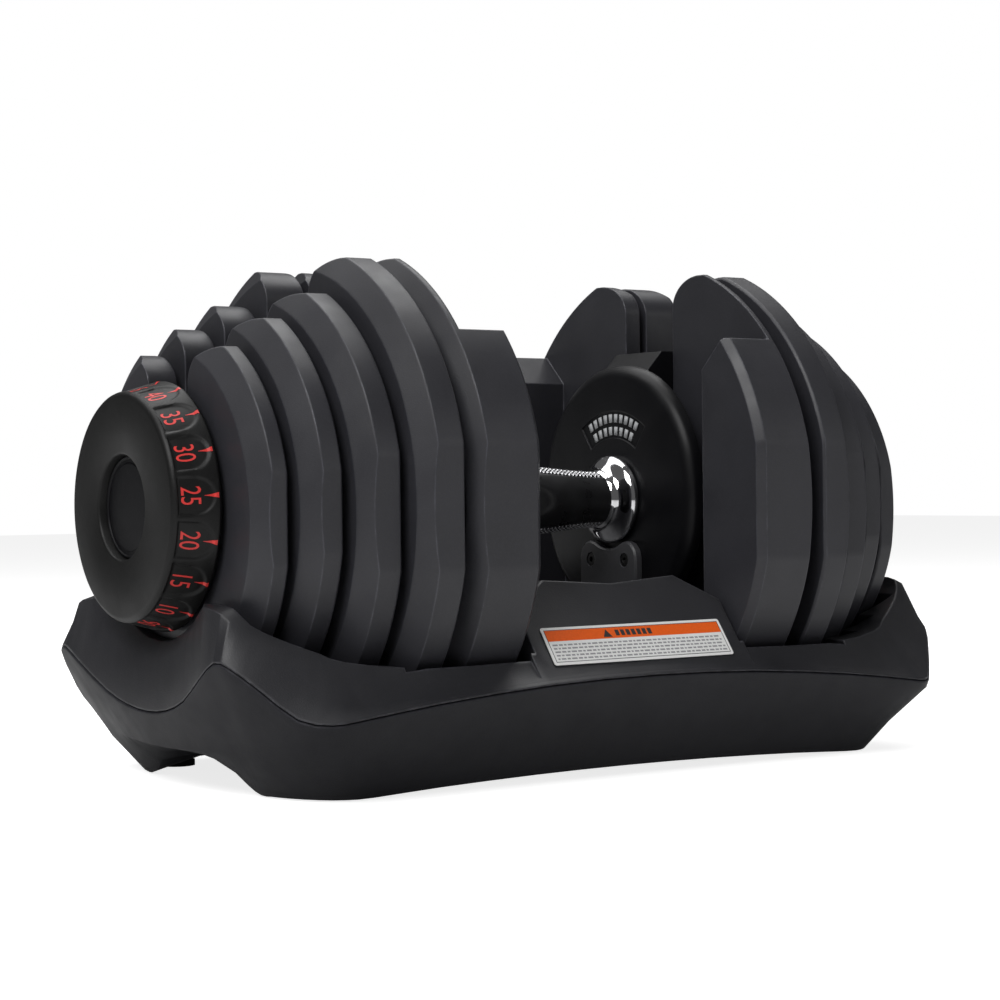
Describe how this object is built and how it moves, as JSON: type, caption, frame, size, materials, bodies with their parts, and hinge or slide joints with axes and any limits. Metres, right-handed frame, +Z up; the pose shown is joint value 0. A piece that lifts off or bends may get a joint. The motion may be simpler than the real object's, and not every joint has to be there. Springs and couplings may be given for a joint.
{
  "type": "adjustable dumbbell with storage base",
  "caption": "Adjustable dumbbell on a storage base: numbered end dials turn slotted discs that hook the chosen weight plates, and the handle lifts out.",
  "frame": {"origin": "centre of the bounding box at floor level, under the middle of the grip", "axes": "+X along the grip towards the right dial, -Y towards the front of the base where the label is, +Z up"},
  "size_m": [0.43, 0.2444, 0.245],
  "materials": {
    "base_tray": "matt black-grey moulded plastic",
    "base_shell": "matt black-grey moulded plastic",
    "warning_label": "printed vinyl with an orange band",
    "foot_left_front": "black rubber pad",
    "foot_left_rear": "black rubber pad",
    "foot_right_front": "black rubber pad",
    "foot_right_rear": "black rubber pad",
    "centre_axle": "bright turned steel",
    "grip_core": "chrome with knurled strips",
    "grip_rubber_front": "smooth glossy black rubber",
    "grip_rubber_rear": "smooth glossy black rubber",
    "left_collar": "polished chrome",
    "left_guard": "black textured plastic",
    "left_lock_bracket": "zinc-plated steel",
    "left_bracket_screw_front": "dark steel socket screw",
    "left_bracket_screw_rear": "dark steel socket screw",
    "left_lock_spring": "spring steel wire",
    "left_axle_bolt": "steel socket screw",
    "left_lock_slide": "zinc-plated steel plate",
    "left_spindle": "bright turned steel tube",
    "left_lock_wheel": "notched steel wheel",
    "left_dial": "black plastic with red numbers",
    "left_dial_cap": "black plastic cap",
    "left_disc_1": "dark grey nylon",
    "left_plate_1": "black powder coat over iron",
    "left_disc_2": "dark grey nylon",
    "left_plate_2": "black powder coat over iron",
    "left_disc_3": "dark grey nylon",
    "left_plate_3": "black powder coat over iron",
    "left_disc_4": "dark grey nylon",
    "left_plate_4": "black powder coat over iron",
    "left_disc_5": "dark grey nylon",
    "left_plate_5": "black powder coat over iron",
    "right_collar": "polished chrome",
    "right_guard": "black textured plastic",
    "right_lock_bracket": "zinc-plated steel",
    "right_bracket_screw_front": "dark steel socket screw",
    "right_bracket_screw_rear": "dark steel socket screw",
    "right_lock_spring": "spring steel wire",
    "right_axle_bolt": "steel socket screw",
    "right_lock_slide": "zinc-plated steel plate",
    "right_spindle": "bright turned steel tube",
    "right_lock_wheel": "notched steel wheel",
    "right_dial": "black plastic with red numbers",
    "right_dial_cap": "black plastic cap",
    "right_disc_1": "dark grey nylon",
    "right_plate_1": "black powder coat over iron",
    "right_disc_2": "dark grey nylon",
    "right_plate_2": "black powder coat over iron",
    "right_disc_3": "dark grey nylon",
    "right_plate_3": "black powder coat over iron",
    "right_disc_4": "dark grey nylon",
    "right_plate_4": "black powder coat over iron",
    "right_disc_5": "dark grey nylon",
    "right_plate_5": "black powder coat over iron"
  },
  "bodies": {
    "base": {"base_tray": "base_tray", "base_shell": "base_shell", "warning_label": "warning_label", "foot_left_front": "foot_left_front", "foot_left_rear": "foot_left_rear", "foot_right_front": "foot_right_front", "foot_right_rear": "foot_right_rear"},
    "handle": {"centre_axle": "centre_axle", "grip_core": "grip_core", "grip_rubber_front": "grip_rubber_front", "grip_rubber_rear": "grip_rubber_rear", "left_collar": "left_collar", "left_guard": "left_guard", "left_lock_bracket": "left_lock_bracket", "left_bracket_screw_front": "left_bracket_screw_front", "left_bracket_screw_rear": "left_bracket_screw_rear", "left_lock_spring": "left_lock_spring", "left_axle_bolt": "left_axle_bolt", "right_collar": "right_collar", "right_guard": "right_guard", "right_lock_bracket": "right_lock_bracket", "right_bracket_screw_front": "right_bracket_screw_front", "right_bracket_screw_rear": "right_bracket_screw_rear", "right_lock_spring": "right_lock_spring", "right_axle_bolt": "right_axle_bolt"},
    "left_lock_gate": {"left_lock_slide": "left_lock_slide"},
    "left_selector": {"left_spindle": "left_spindle", "left_lock_wheel": "left_lock_wheel", "left_dial": "left_dial", "left_dial_cap": "left_dial_cap", "left_disc_1": "left_disc_1", "left_disc_2": "left_disc_2", "left_disc_3": "left_disc_3", "left_disc_4": "left_disc_4", "left_disc_5": "left_disc_5"},
    "left_weight_1": {"left_plate_1": "left_plate_1"},
    "left_weight_2": {"left_plate_2": "left_plate_2"},
    "left_weight_3": {"left_plate_3": "left_plate_3"},
    "left_weight_4": {"left_plate_4": "left_plate_4"},
    "left_weight_5": {"left_plate_5": "left_plate_5"},
    "right_lock_gate": {"right_lock_slide": "right_lock_slide"},
    "right_selector": {"right_spindle": "right_spindle", "right_lock_wheel": "right_lock_wheel", "right_dial": "right_dial", "right_dial_cap": "right_dial_cap", "right_disc_1": "right_disc_1", "right_disc_2": "right_disc_2", "right_disc_3": "right_disc_3", "right_disc_4": "right_disc_4", "right_disc_5": "right_disc_5"},
    "right_weight_1": {"right_plate_1": "right_plate_1"},
    "right_weight_2": {"right_plate_2": "right_plate_2"},
    "right_weight_3": {"right_plate_3": "right_plate_3"},
    "right_weight_4": {"right_plate_4": "right_plate_4"},
    "right_weight_5": {"right_plate_5": "right_plate_5"}
  },
  "joints": [
    {"name": "handle_lift", "type": "slide", "parent": "base", "child": "handle", "axis": [0, 0, 1], "range_m": [0, 0.26]},
    {"name": "left_dial_turn", "type": "hinge", "parent": "handle", "child": "left_selector", "pos_m": [-0.15, 0, 0.13], "axis": [1, 0, 0], "range_deg": [-148.24, 190.59]},
    {"name": "left_lock_slide_travel", "type": "slide", "parent": "handle", "child": "left_lock_gate", "axis": [0, 0, 1], "range_m": [-0.006, 0], "deforming": ["left_lock_spring"]},
    {"name": "left_plate_1_lift", "type": "slide", "parent": "base", "child": "left_weight_1", "axis": [0, 0, 1], "range_m": [0, 0.26]},
    {"name": "left_plate_2_lift", "type": "slide", "parent": "handle", "child": "left_weight_2", "axis": [0, 0, 1], "range_m": [-0.26, 0]},
    {"name": "left_plate_3_lift", "type": "slide", "parent": "handle", "child": "left_weight_3", "axis": [0, 0, 1], "range_m": [-0.26, 0]},
    {"name": "left_plate_4_lift", "type": "slide", "parent": "handle", "child": "left_weight_4", "axis": [0, 0, 1], "range_m": [-0.26, 0]},
    {"name": "left_plate_5_lift", "type": "slide", "parent": "base", "child": "left_weight_5", "axis": [0, 0, 1], "range_m": [0, 0.26]},
    {"name": "right_dial_turn", "type": "hinge", "parent": "handle", "child": "right_selector", "pos_m": [0.15, 0, 0.13], "axis": [1, 0, 0], "range_deg": [-148.24, 190.59]},
    {"name": "right_lock_slide_travel", "type": "slide", "parent": "handle", "child": "right_lock_gate", "axis": [0, 0, 1], "range_m": [-0.006, 0], "deforming": ["right_lock_spring"]},
    {"name": "right_plate_1_lift", "type": "slide", "parent": "base", "child": "right_weight_1", "axis": [0, 0, 1], "range_m": [0, 0.26]},
    {"name": "right_plate_2_lift", "type": "slide", "parent": "handle", "child": "right_weight_2", "axis": [0, 0, 1], "range_m": [-0.26, 0]},
    {"name": "right_plate_3_lift", "type": "slide", "parent": "handle", "child": "right_weight_3", "axis": [0, 0, 1], "range_m": [-0.26, 0]},
    {"name": "right_plate_4_lift", "type": "slide", "parent": "handle", "child": "right_weight_4", "axis": [0, 0, 1], "range_m": [-0.26, 0]},
    {"name": "right_plate_5_lift", "type": "slide", "parent": "base", "child": "right_weight_5", "axis": [0, 0, 1], "range_m": [0, 0.26]}
  ],
  "couplings": [
    {"joint": "left_lock_slide_travel", "follows": "handle_lift", "ratio": -0.023},
    {"joint": "left_plate_1_lift", "follows": "handle_lift", "ratio": 1},
    {"joint": "left_plate_2_lift", "follows": "handle_lift", "ratio": -1},
    {"joint": "left_plate_3_lift", "follows": "handle_lift", "ratio": -1},
    {"joint": "left_plate_4_lift", "follows": "handle_lift", "ratio": -1},
    {"joint": "left_plate_5_lift", "follows": "handle_lift", "ratio": 1},
    {"joint": "right_lock_slide_travel", "follows": "handle_lift", "ratio": -0.023},
    {"joint": "right_plate_1_lift", "follows": "handle_lift", "ratio": 1},
    {"joint": "right_plate_2_lift", "follows": "handle_lift", "ratio": -1},
    {"joint": "right_plate_3_lift", "follows": "handle_lift", "ratio": -1},
    {"joint": "right_plate_4_lift", "follows": "handle_lift", "ratio": -1},
    {"joint": "right_plate_5_lift", "follows": "handle_lift", "ratio": 1}
  ]
}
